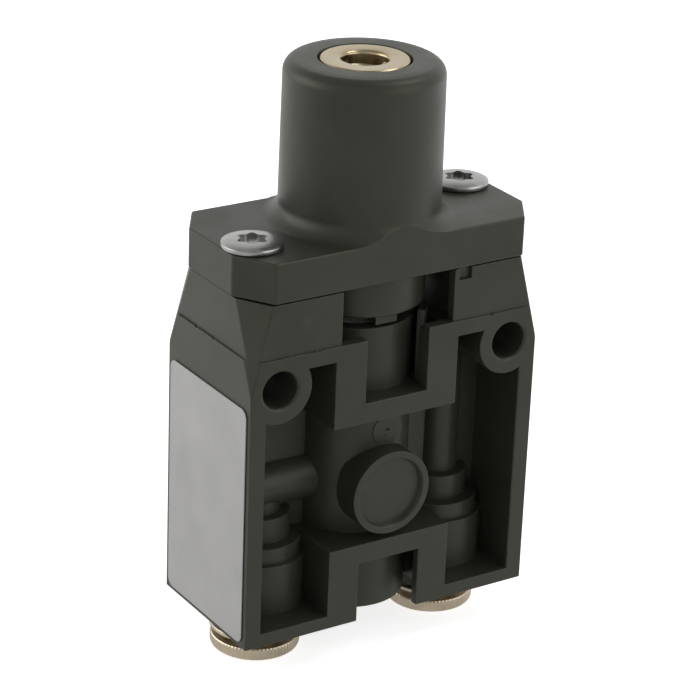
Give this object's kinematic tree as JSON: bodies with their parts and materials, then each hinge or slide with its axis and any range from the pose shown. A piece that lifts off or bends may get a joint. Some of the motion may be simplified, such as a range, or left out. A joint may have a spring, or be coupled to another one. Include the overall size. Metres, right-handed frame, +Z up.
{
  "type": "pneumatic pilot valve",
  "caption": "Small air-piloted spool valve: cored black body, round pilot cap with threaded insert, push-in tube ports below, through holes for mounting.",
  "frame": {"origin": "centre of the footprint, on the plane under the two release rings", "axes": "+Z up through the pilot port, +X across the wide cored face towards the right port, -Y towards the front"},
  "size_m": [0.0376, 0.018, 0.0675],
  "materials": {
    "black_polymer": "satin moulded glass-filled polymer",
    "pale_brass": "turned, pale",
    "satin_nickel": "turned and knurled, nickel plated brass",
    "zinc_plating": "zinc plated",
    "spring_steel": "drawn",
    "aluminium": "turned",
    "white_acetal": "moulded",
    "nitrile_rubber": "smooth",
    "label_film": "plain film, bare"
  },
  "bodies": {
    "housing": {"valve_body": "black_polymer", "pilot_cap": "black_polymer", "exhaust_spacer": "black_polymer", "port_insert": "pale_brass", "cap_screw_left": "zinc_plating", "cap_screw_right": "zinc_plating", "label": "label_film", "spacer_oring": "nitrile_rubber", "return_spring": "spring_steel", "bush_lower": "white_acetal", "bush_upper": "white_acetal", "cage_supply": "white_acetal", "cage_outlet": "white_acetal", "spool_seal_lower": "nitrile_rubber", "spool_seal_middle": "nitrile_rubber", "spool_seal_upper": "nitrile_rubber", "cartridge_sleeve_left": "satin_nickel", "grip_claw_left": "spring_steel", "tube_seal_left": "nitrile_rubber", "cartridge_oring_left": "nitrile_rubber", "cartridge_sleeve_right": "satin_nickel", "grip_claw_right": "spring_steel", "tube_seal_right": "nitrile_rubber", "cartridge_oring_right": "nitrile_rubber"},
    "spool_group": {"spool": "aluminium", "pilot_piston": "white_acetal", "piston_seal": "nitrile_rubber"},
    "release_left": {"release_ring_left": "satin_nickel"},
    "release_right": {"release_ring_right": "satin_nickel"}
  },
  "joints": [
    {"name": "spool_slide", "type": "slide", "parent": "housing", "child": "spool_group", "axis": [0, 0, -1], "range_m": [0, 0.002], "stiffness_N_per_m": 900, "springref_m": -0.004, "deforming": ["return_spring"]},
    {"name": "release_left_slide", "type": "slide", "parent": "housing", "child": "release_left", "axis": [0, 0, 1], "range_m": [0, 0.0007], "stiffness_N_per_m": 400, "springref_m": -0.001},
    {"name": "release_right_slide", "type": "slide", "parent": "housing", "child": "release_right", "axis": [0, 0, 1], "range_m": [0, 0.0007], "stiffness_N_per_m": 400, "springref_m": -0.001}
  ]
}
